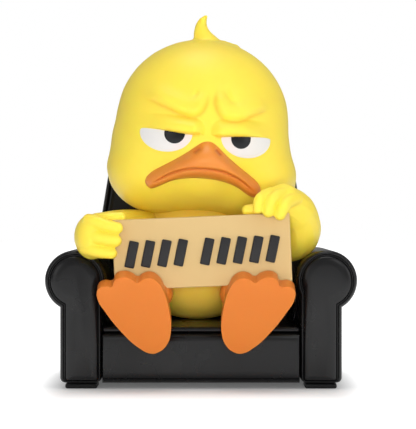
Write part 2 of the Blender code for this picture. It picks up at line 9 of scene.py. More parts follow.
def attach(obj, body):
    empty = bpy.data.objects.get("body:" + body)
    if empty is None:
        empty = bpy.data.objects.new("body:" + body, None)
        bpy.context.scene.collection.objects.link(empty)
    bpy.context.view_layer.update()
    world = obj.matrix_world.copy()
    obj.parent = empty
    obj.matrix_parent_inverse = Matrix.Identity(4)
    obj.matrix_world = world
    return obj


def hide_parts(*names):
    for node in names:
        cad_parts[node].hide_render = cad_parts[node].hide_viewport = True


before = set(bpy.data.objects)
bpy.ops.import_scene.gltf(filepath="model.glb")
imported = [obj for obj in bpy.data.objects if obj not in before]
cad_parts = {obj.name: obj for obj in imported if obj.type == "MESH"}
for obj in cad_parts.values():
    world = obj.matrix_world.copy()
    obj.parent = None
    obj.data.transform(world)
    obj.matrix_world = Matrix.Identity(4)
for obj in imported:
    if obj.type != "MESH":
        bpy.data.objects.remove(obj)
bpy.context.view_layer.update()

mm = 0.001
sides = {"left": -1, "right": 1}   # as seen from the front

# How finely the shared tools draw: steps, facets, degrees, and the gaps in metres that are closed
fineness = {
    "limbSteps": 10, "limbRound": 6, "limbBall": 24, "pipingRound": 4, "blockEdge": 4,
    "bevelAngle": 35, "smoothing": 0.5, "mergeGap": 0.00001, "stackedGap": 0.000001,
}


# Working tools

def scaled(values):
    return tuple(value * mm for value in values)


def only(*pieces):
    bpy.ops.object.select_all(action="DESELECT")
    for piece in pieces:
        piece.select_set(True)
    bpy.context.view_layer.objects.active = pieces[0]


def applyModifiers(piece):
    only(piece)
    for step in list(piece.modifiers):
        bpy.ops.object.modifier_apply(modifier=step.name)
    return piece


def applyPlace(piece):
    only(piece)
    bpy.ops.object.transform_apply(location=True, rotation=True, scale=True)
    return piece


def moveMesh(piece, matrix):
    piece.data.transform(matrix)
    piece.data.update()
    return piece


def joined(name, pieces):
    only(*pieces)
    bpy.ops.object.join()
    piece = bpy.context.view_layer.objects.active
    piece.name = name
    piece.data.name = name
    return piece


def coordsOf(piece):
    found = np.empty(len(piece.data.vertices) * 3)
    piece.data.vertices.foreach_get("co", found)
    return found.reshape(-1, 3)


def setCoords(piece, places):
    piece.data.vertices.foreach_set("co", np.ascontiguousarray(places).ravel())
    piece.data.update()


def normalsOf(piece):
    found = np.empty(len(piece.data.vertices) * 3)
    piece.data.vertex_normals.foreach_get("vector", found)
    return found.reshape(-1, 3)


def mirrorMesh(piece, planeX=0.0):
    # A mirrored mesh is inside out, so its normals are turned back
    moveMesh(piece, Matrix.Translation((2 * planeX, 0, 0)) @ Matrix.Diagonal((-1, 1, 1, 1)))
    only(piece)
    bpy.ops.object.mode_set(mode="EDIT")
    bpy.ops.mesh.select_all(action="SELECT")
    bpy.ops.mesh.flip_normals()
    bpy.ops.object.mode_set(mode="OBJECT")


def tidyMesh(piece, merge=fineness["mergeGap"]):
    only(piece)
    bpy.ops.object.mode_set(mode="EDIT")
    bpy.ops.mesh.select_all(action="SELECT")
    bpy.ops.mesh.remove_doubles(threshold=merge)
    bpy.ops.mesh.normals_make_consistent(inside=False)
    bpy.ops.object.mode_set(mode="OBJECT")
    return piece


def blended(piece, voxel, rounds, levels=0):
    # Overlapping forms become one skin, then the steps between them are smoothed out
    skin = piece.modifiers.new("skin", "REMESH")
    skin.mode = "VOXEL"
    skin.voxel_size = voxel
    soft = piece.modifiers.new("soft", "SMOOTH")
    soft.factor = fineness["smoothing"]
    soft.iterations = rounds
    if levels:
        fine = piece.modifiers.new("fine", "SUBSURF")
        fine.levels = levels
        fine.render_levels = levels
    return applyModifiers(piece)


def beveled(piece, width, segments):
    edge = piece.modifiers.new("edge", "BEVEL")
    edge.width = width
    edge.segments = segments
    edge.limit_method = "ANGLE"
    edge.angle_limit = math.radians(fineness["bevelAngle"])
    edge.harden_normals = False
    applyModifiers(piece)


def ball(centre, halfSize, segments=64):
    bpy.ops.object.select_all(action="DESELECT")
    bpy.ops.mesh.primitive_uv_sphere_add(segments=segments, ring_count=segments // 2, radius=1,
                                         location=centre, scale=halfSize)
    return applyPlace(bpy.context.object)


def curveMesh(name, curve):
    made = bpy.data.objects.new(name, curve)
    bpy.context.scene.collection.objects.link(made)
    only(made)
    bpy.ops.object.convert(target="MESH")
    return bpy.context.object


def softSpline(curve, spots):
    spline = curve.splines.new("BEZIER")
    spline.bezier_points.add(len(spots) - 1)
    for point, spot in zip(spline.bezier_points, spots):
        point.co = spot
        point.handle_left_type = "AUTO"
        point.handle_right_type = "AUTO"
    return spline


def limb(stations):
    # A bent tube whose width follows its stations (x, y, z, radius in mm), with a ball at each of them
    curve = bpy.data.curves.new("limb", "CURVE")
    curve.dimensions = "3D"
    curve.bevel_depth = mm
    curve.bevel_resolution = fineness["limbRound"]
    curve.resolution_u = fineness["limbSteps"]
    curve.use_fill_caps = True
    spline = softSpline(curve, [scaled(station[:3]) for station in stations])
    spline.radius_interpolation = "CARDINAL"
    for point, station in zip(spline.bezier_points, stations):
        point.radius = station[3]
    made = [curveMesh("limb", curve)]
    for x, y, z, radius in stations:
        made.append(ball(scaled((x, y, z)), scaled((radius,) * 3), fineness["limbBall"]))
    return joined("limb", made)


def outlinePlate(name, outline, thickness, steps):
    # A flat, softly curved outline in X and Z (metres), with its thickness along Y
    curve = bpy.data.curves.new(name, "CURVE")
    curve.dimensions = "2D"
    curve.fill_mode = "BOTH"
    curve.extrude = thickness / 2
    curve.resolution_u = steps
    softSpline(curve, [(x, z, 0) for x, z in outline]).use_cyclic_u = True
    plate = tidyMesh(curveMesh(name, curve))
    upright = Matrix.Translation((0, thickness / 2, 0)) @ Matrix.Rotation(math.radians(90), 4, "X")
    return moveMesh(plate, upright)


def stacked(name, rings):
    # A closed body through a stack of like outlines, each a list of x, y, z in mm
    count = len(rings[0])
    points = [scaled(point) for ring in rings for point in ring]
    faces = [list(range(count)), list(range(len(points) - 1, len(points) - count - 1, -1))]
    for low in range(0, len(points) - count, count):
        for step in range(count):
            after = (step + 1) % count
            faces.append((low + step, low + count + step, low + count + after, low + after))
    mesh = bpy.data.meshes.new(name)
    mesh.from_pydata(points, [], faces)
    body = bpy.data.objects.new(name, mesh)
    bpy.context.scene.collection.objects.link(body)
    return tidyMesh(body, fineness["stackedGap"])


def bead(name, points, radius):
    # A round line of piping through the points
    curve = bpy.data.curves.new(name, "CURVE")
    curve.dimensions = "3D"
    curve.bevel_depth = radius
    curve.bevel_resolution = fineness["pipingRound"]
    curve.use_fill_caps = True
    spline = curve.splines.new("POLY")
    spline.points.add(len(points) - 1)
    for point, spot in zip(spline.points, points):
        point.co = (*spot, 1)
    return tidyMesh(curveMesh(name, curve))


def lineDistance(points, line):
    # Distance from each point to a line in the plane, positive on its left, and how far along it lies
    line = np.array(line, float)
    starts, ends = line[:-1], line[1:]
    lengths = np.linalg.norm(ends - starts, axis=1)
    before = np.concatenate([[0], np.cumsum(lengths)[:-1]])
    best = np.full(len(points), 1e9)
    side = np.ones(len(points))
    along = np.zeros(len(points))
    for start, end, length, offset in zip(starts, ends, lengths, before):
        way = (end - start) / length
        reach = np.clip((points - start) @ way, 0, length)
        gap = points - (start + reach[:, None] * way)
        distance = np.hypot(gap[:, 0], gap[:, 1])
        near = distance < best
        best[near] = distance[near]
        cross = way[0] * (points[:, 1] - start[1]) - way[1] * (points[:, 0] - start[0])
        side[near] = np.where(cross[near] >= 0, 1, -1)
        along[near] = (offset + reach[near]) / lengths.sum()
    return best * side, along


def ramp(low, high, value):
    # A soft step from 0 at low to 1 at high
    t = np.clip((value - low) / (high - low), 0, 1)
    return t * t * (3 - 2 * t)


def bell(distance, width):
    return np.exp(-(distance / width) ** 2)


def smoothLine(points, steps=8):
    # Points of a line read off a soft curve through the given ones
    points = [np.array(point, float) for point in points]
    padded = [2 * points[0] - points[1]] + points + [2 * points[-1] - points[-2]]
    found = []
    for before, start, end, after in zip(padded, padded[1:], padded[2:], padded[3:]):
        for step in range(steps):
            t = step / steps
            found.append(0.5 * (2 * start + (end - before) * t
                                + (2 * before - 5 * start + 4 * end - after) * t ** 2
                                + (3 * start - before - 3 * end + after) * t ** 3))
    found.append(points[-1])
    return np.array(found)


def place(piece, slot, *nodes, angle=40):
    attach(piece, "root")
    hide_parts(*nodes)
    only(piece)
    bpy.ops.object.shade_smooth_by_angle(angle=math.radians(angle))


# Materials

def linear(*levels):
    # A screen colour, 0 to 255, as the shader's own levels
    shares = [level / 255 for level in levels]
    return tuple(((v + 0.055) / 1.055) ** 2.4 if v > 0.04045 else v / 12.92 for v in shares) + (1,)


def setInputs(node, values):
    for label, value in values.items():
        node.inputs[label].default_value = value


def newGroup(name, inputs, outputs):
    group = bpy.data.node_groups.new(name, "ShaderNodeTree")
    for label, kind, value in inputs:
        socket = group.interface.new_socket(label, in_out="INPUT", socket_type=kind)
        socket.default_value = value
    for label, kind in outputs:
        group.interface.new_socket(label, in_out="OUTPUT", socket_type=kind)
    return group, group.nodes.new("NodeGroupInput"), group.nodes.new("NodeGroupOutput")


def noiseNode(tree, given, scaleName, detail):
    noise = tree.nodes.new("ShaderNodeTexNoise")
    noise.inputs["Detail"].default_value = detail
    tree.links.new(given.outputs["Place"], noise.inputs["Vector"])
    tree.links.new(given.outputs[scaleName], noise.inputs["Scale"])
    return noise


# The part of the waves that spreads the roughness, and how high the grain stands in metres
skinLook = {
    "waveFrom": 0.3, "waveTo": 0.7, "grainHeight": 0.00006,
    "grainDetail": 2, "waveDetail": 3, "driftDetail": 2,
}


def mouldedSkin():
    # The faint pebble and soft unevenness of a moulded surface: a roughness and a normal
    group, given, made = newGroup("mouldedSkin", [
        ("Place", "NodeSocketVector", (0, 0, 0)), ("Grain size", "NodeSocketFloat", 3500.0),
        ("Grain depth", "NodeSocketFloat", 0.1), ("Wave size", "NodeSocketFloat", 90.0),
        ("Least roughness", "NodeSocketFloat", 0.35), ("Most roughness", "NodeSocketFloat", 0.45)],
        [("Roughness", "NodeSocketFloat"), ("Normal", "NodeSocketVector")])
    link = group.links.new
    grain = noiseNode(group, given, "Grain size", skinLook["grainDetail"])
    wave = noiseNode(group, given, "Wave size", skinLook["waveDetail"])
    spread = group.nodes.new("ShaderNodeMapRange")
    setInputs(spread, {"From Min": skinLook["waveFrom"], "From Max": skinLook["waveTo"]})
    link(wave.outputs["Fac"], spread.inputs["Value"])
    link(given.outputs["Least roughness"], spread.inputs["To Min"])
    link(given.outputs["Most roughness"], spread.inputs["To Max"])
    bump = group.nodes.new("ShaderNodeBump")
    bump.inputs["Distance"].default_value = skinLook["grainHeight"]
    link(given.outputs["Grain depth"], bump.inputs["Strength"])
    link(grain.outputs["Fac"], bump.inputs["Height"])
    link(spread.outputs["Result"], made.inputs["Roughness"])
    link(bump.outputs["Normal"], made.inputs["Normal"])
    return group


def colourMix(tree, amount, first, second):
    mix = tree.nodes.new("ShaderNodeMix")
    mix.data_type = "RGBA"
    tree.links.new(amount, mix.inputs["Factor"])
    tree.links.new(first, mix.inputs["A"])
    tree.links.new(second, mix.inputs["B"])
    return mix.outputs["Result"]


def paintTint():
    # Paint that drifts a little in tone over the surface, and goes to a second tone of painted light where a
    # mask says: painted shade in folds, a painted reflection on the eye whites
    group, given, made = newGroup("paintTint", [
        ("Place", "NodeSocketVector", (0, 0, 0)), ("Paint", "NodeSocketColor", (1, 1, 1, 1)),
        ("Drift", "NodeSocketColor", (1, 1, 1, 1)), ("Drift size", "NodeSocketFloat", 40.0),
        ("Drift amount", "NodeSocketFloat", 0.3), ("Painted light", "NodeSocketColor", (0, 0, 0, 1)),
        ("Crease mask", "NodeSocketFloat", 0.0)],
        [("Color", "NodeSocketColor")])
    link = group.links.new
    drift = noiseNode(group, given, "Drift size", skinLook["driftDetail"])
    amount = group.nodes.new("ShaderNodeMath")
    amount.operation = "MULTIPLY"
    link(drift.outputs["Fac"], amount.inputs[0])
    link(given.outputs["Drift amount"], amount.inputs[1])
    tone = colourMix(group, amount.outputs["Value"], given.outputs["Paint"], given.outputs["Drift"])
    creased = colourMix(group, given.outputs["Crease mask"], tone, given.outputs["Painted light"])
    link(creased, made.inputs["Color"])
    return group


skinGroup = mouldedSkin()
tintGroup = paintTint()


def mouldedMaterial(name, look):
    finish = bpy.data.materials.new(name)
    finish.use_nodes = True
    tree = finish.node_tree
    link = tree.links.new
    shader = tree.nodes["Principled BSDF"]
    here = tree.nodes.new("ShaderNodeTexCoord")
    skin = tree.nodes.new("ShaderNodeGroup")
    skin.node_tree = skinGroup
    tint = tree.nodes.new("ShaderNodeGroup")
    tint.node_tree = tintGroup
    for group in (skin, tint):
        link(here.outputs["Object"], group.inputs["Place"])
    least, most = look["roughness"]
    setInputs(skin, {"Grain size": look["grainSize"], "Grain depth": look["grainDepth"],
                     "Wave size": look["waveSize"], "Least roughness": least, "Most roughness": most})
    setInputs(tint, {"Paint": linear(*look["paint"]), "Drift": linear(*look["drift"]),
                     "Drift size": look["driftSize"], "Drift amount": look["driftAmount"]})
    if "paintedLight" in look:   # the pieces with painted shade in their folds, and the eye whites with a painted reflection, carry a mask of this name
        mask = tree.nodes.new("ShaderNodeAttribute")
        mask.attribute_name = "paintedLight"
        link(mask.outputs["Fac"], tint.inputs["Crease mask"])
        tint.inputs["Painted light"].default_value = linear(*look["paintedLight"])
    link(skin.outputs["Roughness"], shader.inputs["Roughness"])
    link(skin.outputs["Normal"], shader.inputs["Normal"])
    link(tint.outputs["Color"], shader.inputs["Base Color"])
    shader.inputs["Specular IOR Level"].default_value = look["specular"]
    if "glow" in look:   # light that goes a little way into the vinyl
        setInputs(shader, {"Subsurface Weight": look["glow"], "Subsurface Radius": look["glowRadius"],
                           "Subsurface Scale": look["glowScale"]})
    return finish


looks = {
    # The second tone is painted shade, laid in the folds of the brows and lids
    "yellowVinyl": {"paint": (250, 224, 76), "drift": (247, 216, 68), "driftSize": 45, "driftAmount": 0.5,
                    "paintedLight": (228, 160, 30), "grainSize": 3800, "grainDepth": 0.12, "waveSize": 80,
                    "roughness": (0.4, 0.5), "specular": 0.4, "glow": 0.3, "glowScale": 0.004,
                    "glowRadius": (1, 0.5, 0.15)},
    # The torso is the same yellow vinyl as the head, painted warmer so that the belly and neck, which lie in
    # shade, look warm: painted shade
    "bodyVinylPaintedShade": {"paint": (255, 214, 84), "drift": (252, 206, 74), "driftSize": 45, "driftAmount": 0.5,
                  "grainSize": 3800, "grainDepth": 0.12, "waveSize": 80, "roughness": (0.4, 0.5),
                  "specular": 0.4, "glow": 0.4, "glowScale": 0.005, "glowRadius": (1, 0.5, 0.15)},
    "orangeVinyl": {"paint": (215, 122, 43), "drift": (209, 112, 35), "driftSize": 60, "driftAmount": 0.5,
                    "grainSize": 4200, "grainDepth": 0.12, "waveSize": 90,
                    "roughness": (0.38, 0.48), "specular": 0.4, "glow": 0.2, "glowScale": 0.003,
                    "glowRadius": (1, 0.4, 0.1)},
    # The beak's second tone is painted shade, in its mouth line and nostrils
    "billVinyl": {"paint": (226, 140, 54), "drift": (219, 124, 44), "driftSize": 60, "driftAmount": 0.6,
                  "paintedLight": (176, 70, 22), "grainSize": 4200, "grainDepth": 0.1, "waveSize": 90,
                  "roughness": (0.34, 0.44), "specular": 0.45, "glow": 0.2, "glowScale": 0.003,
                  "glowRadius": (1, 0.4, 0.1)},
    # The eye whites' second tone is a painted reflection of the orange beak
    "eyePaint": {"paint": (226, 224, 222), "drift": (219, 214, 211), "driftSize": 120, "driftAmount": 0.4,
                 "paintedLight": (232, 200, 190), "grainSize": 5000, "grainDepth": 0.04, "waveSize": 150,
                 "roughness": (0.28, 0.34), "specular": 0.45},
    "pupilPaint": {"paint": (14, 14, 15), "drift": (10, 10, 11), "driftSize": 150, "driftAmount": 0.5,
                   "grainSize": 5000, "grainDepth": 0.04, "waveSize": 200, "roughness": (0.25, 0.32),
                   "specular": 0.3},
    "tanBoard": {"paint": (209, 179, 124), "drift": (201, 168, 112), "driftSize": 50, "driftAmount": 0.7,
                 "grainSize": 2600, "grainDepth": 0.18, "waveSize": 70,
                 "roughness": (0.52, 0.62), "specular": 0.3},
    "markPaint": {"paint": (34, 33, 34), "drift": (28, 27, 28), "driftSize": 150, "driftAmount": 0.6,
                  "grainSize": 3600, "grainDepth": 0.15, "waveSize": 160, "roughness": (0.42, 0.52),
                  "specular": 0.3},
    "blackPadding": {"paint": (17, 17, 18), "drift": (11, 11, 12), "driftSize": 60, "driftAmount": 0.7,
                     "grainSize": 2400, "grainDepth": 0.2, "waveSize": 70,
                     "roughness": (0.24, 0.33), "specular": 0.3},
    "blackFoot": {"paint": (18, 18, 19), "drift": (13, 13, 14), "driftSize": 120, "driftAmount": 0.6,
                  "grainSize": 3000, "grainDepth": 0.2, "waveSize": 120, "roughness": (0.42, 0.52),
                  "specular": 0.28},
}
finishes = {name: mouldedMaterial(name, look) for name, look in looks.items()}


def paint(piece, name):
    piece.data.materials.clear()
    piece.data.materials.append(finishes[name])
    return piece


def markPaintedLight(piece, mask):
    # How much painted light each point gets, as the material's second tone: painted shade deep in a fold, the
    # beak's painted reflection on the eye whites
    layer = piece.data.attributes.new("paintedLight", "FLOAT", "POINT")
    layer.data.foreach_set("value", np.clip(mask, 0, 1).astype(np.float32))


print("tools and materials ready")


# Head

# Balls are their middle and half size, the tuft is x, y, z and radius, all in mm from the head's middle
headLook = {
    "centre": (0.3, -4.0, 85.2), "roll": 5, "yaw": 4,
    "skull": ((0, 0, 2), (28.9, 25.5, 27.4)),
    "face": ((0, 0, -6), (30.2, 26, 20)),
    "chin": ((0, 0, -14), (22, 23, 15.2)),
    "jowl": ((13.6, 0, -15.2), (18.4, 20, 15.3)), "jowlShift": 1.2,
    "blankVoxel": 1.8, "blankRounds": 14, "skinVoxel": 0.45, "skinRounds": 5, "castFrom": -100,
    "tuft": ((0.4, -1, 25.6, 4.8), (-0.8, -1, 27.2, 4.2), (-2.0, -1.1, 28.9, 3.5), (-2.9, -1.2, 30.8, 2.8),
             (-3.3, -1.4, 33.0, 2.1), (-3.0, -1.6, 35.0, 1.45), (-2.1, -1.8, 36.6, 0.75)),
    "cowlick": ((4.2, -1, 26.8, 2.6), (8.4, -1, 26.3, 2.2)),
}
headPlace = (Matrix.Translation(scaled(headLook["centre"]))
             @ Matrix.Rotation(math.radians(headLook["roll"]), 4, "Y")
             @ Matrix.Rotation(math.radians(headLook["yaw"]), 4, "Z"))


def blankHead():
    # The plain head, on which the face is laid out
    forms = [ball(scaled(headLook[part][0]), scaled(headLook[part][1])) for part in ("skull", "face", "chin")]
    (x, y, z), size = headLook["jowl"]
    for side in sides.values():
        forms.append(ball(scaled((side * x + headLook["jowlShift"], y, z)), scaled(size)))
    blank = joined("blankHead", forms)
    return blended(blank, headLook["blankVoxel"] * mm, headLook["blankRounds"], levels=2)


blank = blankHead()
blankTree = BVHTree.FromObject(blank, bpy.context.evaluated_depsgraph_get())


def faceY(x, z):
    # Where the plain head's front lies (mm, in the head's own frame)
    found = np.empty(len(x))
    for index, (across, up) in enumerate(zip(x, z)):
        hit = blankTree.ray_cast(Vector(scaled((across, headLook["castFrom"], up))), Vector((0, 1, 0)))
        found[index] = hit[0].y / mm if hit[0] else 0
    return found


# Lines are x and z on the plain face, in mm; a pair is where a soft step begins and ends
foldLook = {
    "leftBrow": {"line": ((-22.0, 7.9), (-20.2, 7.1), (-18.2, 6.4), (-15.6, 5.2), (-12.3, 3.8), (-9.0, 2.6),
                          (-5.8, 1.8), (-3.6, 2.3), (-1.8, 3.8), (-0.9, 6.0), (-0.6, 8.6), (-0.9, 11.2)),
                 "height": 1.9},
    "rightBrow": {"line": ((3.8, 12.6), (2.7, 10.8), (2.0, 8.8), (2.0, 6.6), (2.9, 4.4), (4.4, 2.6),
                           (6.5, 1.7), (8.8, 1.6), (11.4, 2.3), (14.3, 3.9), (17.5, 5.4), (21.0, 6.9)),
                  "height": 2.1},
    "browEdge": 0.12, "browCrest": 2.7, "browFade": 6.8, "browSwell": 0.8,
    "browEnds": (0.24, 0.2),   # the shares of its length over which it fades, first end and last end
    # The brow's groove is only a band of painted shade just under its crease, with no depth of its own
    "browShadeBand": {"below": 0.25, "width": 0.6},
    "browBlur": 2.0, "blurBand": (0.3, 3.2), "blurReach": 12, "blurTurns": 8, "innerBlur": 0.5,
    "leftLid": {"line": ((-22.6, -3.9), (-20.2, -3.3), (-18.0, -3.1), (-14.9, -3.2), (-11.7, -3.5),
                         (-8.5, -3.8), (-5.3, -3.9), (-2.6, -3.6)),
                "middle": ((-20.5, -1.9), (-17.0, -1.7), (-12.0, -1.8), (-7.0, -2.1), (-4.4, -2.3)),
                "height": 2.9},
    "rightLid": {"line": ((3.2, -3.6), (5.0, -3.8), (8.3, -3.5), (14.2, -3.0), (17.7, -2.8), (20.6, -3.0),
                          (22.8, -3.6)),
                 "middle": ((21.0, -1.5), (17.6, -1.2), (13.0, -1.2), (9.0, -1.5), (5.2, -2.0)),
                 "height": 3.0},
    "lidReach": 3.9, "lidRound": 1.4, "lidFade": (-0.03, 0.75), "lidLip": (-0.12, 0.4),
    # The lid's groove is only a band of painted shade just under its lip, fading with the roll
    "lidShadeBand": {"below": 0.3, "width": 0.45}, "lidShadeFade": (0, 0.4),
    "hollows": ({"line": ((-4.0, 10.6), (-4.5, 9.4), (-5.0, 8.4)), "width": 0.8, "depth": 0.6},
                {"line": ((5.7, 11.6), (6.0, 10.0), (6.9, 8.5), (8.6, 7.6)), "width": 1.1, "depth": 0.8}),
    # how dark the painted shade in the folds and the beak gets
    "hollowEnds": (-0.3, 0.4), "faceFront": -8, "paintedShadeTone": 0.35,
    "fineFront": -12, "fineHeights": (-7, 12.5), "fineHalf": 23.5,   # where the mesh is made finer
}


def browFold(points, fold):
    # A fold of skin: a crease along its lower edge, swelling round above it, and fading out upward; also a
    # band of painted shade along the crease
    look = foldLook
    gap, along = lineDistance(points, smoothLine(fold["line"]))
    first, last = look["browEnds"]
    ends = ramp(0, first, along) * ramp(0, last, 1 - along)
    rise = np.clip((gap + look["browEdge"]) / look["browCrest"], 0, 1)
    swell = np.sin(rise * math.pi / 2) ** look["browSwell"]
    full = swell * (1 - ramp(look["browCrest"], look["browFade"], gap))
    groove = bell(gap + look["browShadeBand"]["below"], look["browShadeBand"]["width"])
    return fold["height"] * ends * full, ends * groove


def softBrow(points, fold):
    # The brow's fold, evened out away from its crease so that it turns its corners roundly
    look = foldLook
    gap = lineDistance(points, smoothLine(fold["line"]))[0]
    near = np.abs(gap) < look["blurReach"]
    some = points[near]
    spread = look["browBlur"] * ramp(*look["blurBand"], gap[near])
    height = np.zeros(len(points))
    groove = np.zeros(len(points))
    height[near], groove[near] = browFold(some, fold)
    total = height[near].copy()
    for turn in np.arange(look["blurTurns"]) * 2 * math.pi / look["blurTurns"]:
        shift = spread[:, None] * (math.cos(turn), math.sin(turn))
        total += browFold(some + shift, fold)[0]
        total += look["innerBlur"] * browFold(some + shift / 2, fold)[0]
    height[near] = total / (1 + look["blurTurns"] * (1 + look["innerBlur"]))
    return height, groove


def lidFold(points, fold):
    # The heavy eyelid: a soft roll whose lower lip overhangs the eye, and which dies away at its outer end;
    # also a band of painted shade under the lip
    look = foldLook
    gap = lineDistance(points, smoothLine(fold["line"]))[0]
    away, inward = lineDistance(points, smoothLine(fold["middle"]))
    roll = np.clip(1 - (away / look["lidReach"]) ** 2, 0, 1) ** look["lidRound"]
    roll = roll * ramp(*look["lidFade"], inward)
    groove = bell(gap + look["lidShadeBand"]["below"], look["lidShadeBand"]["width"])
    return fold["height"] * roll * ramp(*look["lidLip"], gap), groove * ramp(*look["lidShadeFade"], roll)


def refineFace(piece):
    # Smaller faces where the folds are
    low, high = foldLook["fineHeights"]
    x, y, z = (coordsOf(piece) / mm).T
    only(piece)
    bpy.ops.object.mode_set(mode="EDIT")
    bpy.ops.mesh.select_all(action="DESELECT")
    bpy.ops.object.mode_set(mode="OBJECT")
    near = (y < foldLook["fineFront"]) & (z > low) & (z < high) & (np.abs(x) < foldLook["fineHalf"])
    piece.data.vertices.foreach_set("select", near)
    bpy.ops.object.mode_set(mode="EDIT")
    bpy.ops.mesh.select_mode(type="VERT")
    bpy.ops.mesh.subdivide(number_cuts=1, smoothness=0)
    bpy.ops.object.mode_set(mode="OBJECT")


def modelHead():
    look = foldLook
    body = blank.copy()
    body.data = blank.data.copy()
    bpy.context.scene.collection.objects.link(body)
    head = joined("duckHead", [body, limb(headLook["tuft"]), limb(headLook["cowlick"])])
    blended(head, headLook["skinVoxel"] * mm, headLook["skinRounds"])
    refineFace(head)
    places = coordsOf(head) / mm
    normals = normalsOf(head)
    plane = places[:, [0, 2]]
    lift = np.zeros(len(places))
    # painted shade along the folds' creases, for the material's second tone
    paintedLight = np.zeros(len(places))
    folds = (("leftBrow", softBrow), ("rightBrow", softBrow), ("leftLid", lidFold), ("rightLid", lidFold))
    for name, shape in folds:
        height, groove = shape(plane, look[name])
        lift += height
        paintedLight = np.maximum(paintedLight, groove)
    for hollow in look["hollows"]:
        gap, along = lineDistance(plane, smoothLine(hollow["line"]))
        ends = ramp(*look["hollowEnds"], along) * ramp(*look["hollowEnds"], 1 - along)
        lift -= hollow["depth"] * bell(gap, hollow["width"]) * ends
    behind = places[:, 1] >= look["faceFront"]
    lift[behind] = 0
    paintedLight[behind] = 0
    setCoords(head, (places + normals * lift[:, None]) * mm)
    markPaintedLight(head, look["paintedShadeTone"] * paintedLight)
    moveMesh(head, headPlace)
    place(paint(head, "yellowVinyl"), "yellow_vinyl", "head", angle=60)


modelHead()
print("head done")


# Eyes

eyeLook = {
    "left": {"centre": (-12.8, -3.8), "pupil": (-10.2, -3.9)},
    "right": {"centre": (13.1, -3.6), "pupil": (11.3, -3.7)},
    "halfSize": (8.5, 6.3), "bulge": 0.55, "sunk": 0.12, "underLid": 1.5, "lidBand": (0.3, 1.4),
    "beakReflection": 0.55, "beakReflectionBand": (0.1, 1.05),   # the painted reflection of the orange beak, warmer toward it
    "pupilRadius": 3.3, "pupilBulge": 0.35, "pupilLift": 0.38, "facets": 96,
}


def facePad(name, centreX, centreZ, halfX, halfZ, bulge, lift):
    # A flattened ball laid on the face
    pad = ball((0, 0, 0), (1, 1, 1), eyeLook["facets"])
    places = coordsOf(pad)
    x = centreX + places[:, 0] * halfX
    z = centreZ + places[:, 2] * halfZ
    y = faceY(x, z) - lift + places[:, 1] * bulge
    setCoords(pad, np.stack([x, y, z], axis=1) * mm)
    pad.name = name
    return pad


def tuckUnderLid(piece, sideName):
    # What lies above the lid's lip goes back into the head
    places = coordsOf(piece) / mm
    gap = lineDistance(places[:, [0, 2]], smoothLine(foldLook[sideName + "Lid"]["line"]))[0]
    places[:, 1] += eyeLook["underLid"] * ramp(*eyeLook["lidBand"], gap)
    setCoords(piece, places * mm)
    return places


def modelEye(sideName, side):
    look = eyeLook[sideName]
    halfX, halfZ = eyeLook["halfSize"]
    white = facePad("eyeWhite" + sideName.title(), *look["centre"], halfX, halfZ, eyeLook["bulge"],
                    -eyeLook["sunk"])
    places = tuckUnderLid(white, sideName)
    toNose = -side * (places[:, 0] - look["centre"][0]) / halfX
    # the beak's painted reflection, warming the eye white toward the nose
    markPaintedLight(white, eyeLook["beakReflection"] * ramp(*eyeLook["beakReflectionBand"], toNose))
    moveMesh(white, headPlace)
    place(paint(white, "eyePaint"), "eye_white", "eye_white_" + sideName, angle=70)
    radius = eyeLook["pupilRadius"]
    pupil = facePad("pupil" + sideName.title(), *look["pupil"], radius, radius, eyeLook["pupilBulge"],
                    eyeLook["pupilLift"])
    tuckUnderLid(pupil, sideName)
    moveMesh(pupil, headPlace)
    place(paint(pupil, "pupilPaint"), "pupil_black", "pupil_" + sideName, angle=70)


for sideName, side in sides.items():
    modelEye(sideName, side)
print("eyes done")


# Beak

# The outline and the mouth's line are x and z from the beak's middle, in mm, for one half
beakLook = {
    "shift": 0.8, "halfWidth": 18.9, "grid": (240, 120), "widthShare": 0.9995,
    "top": ((0, -5.5), (1.2, -5.7), (2.4, -6.3), (3.8, -7.4), (6.1, -9.3), (8.7, -11.2), (11.6, -13.1),
            (15, -15.2), (17.0, -16.6), (18.4, -18.2), (18.9, -19.8)),
    "groove": ((0, -14.6), (5, -14.9), (7.5, -15.5), (10.5, -16.6), (12.9, -17.9), (14.9, -19.3),
               (16.9, -20.5), (18.9, -21)),
    "bottom": ((0, -17.5), (4, -17.7), (7.7, -18.3), (10.5, -19.2), (13, -20.5), (15, -21.6), (16.8, -22.1),
               (18.2, -21.3), (18.9, -19.8)),
    "reach": 6.6, "endReach": 3.0, "reachFade": 1.1, "endSquare": 8,
    "crest": 0.62, "riseRound": 0.85, "rim": 4.5, "lipBack": 0.5, "lipBand": (0.3, -0.6),
    "grooveDepth": 0.85, "grooveWidth": 0.36, "grooveEnd": (13.0, 17.2),
    "nostrils": (((-3.2, -9.4), (-2.0, -8.4)), ((3.6, -8.4), (4.7, -9.5))),
    # how dark the painted shade in the nostrils and mouth line gets
    "nostrilDepth": 0.9, "nostrilWidth": 0.62, "nostrilPaintedShade": 1.6, "paintedShadeTone": 0.45,
    "wall": 1.2, "seat": 0.25,
}


def lineHeight(line, x):
    line = smoothLine(line)
    return np.interp(np.abs(x), line[:, 0], line[:, 1])


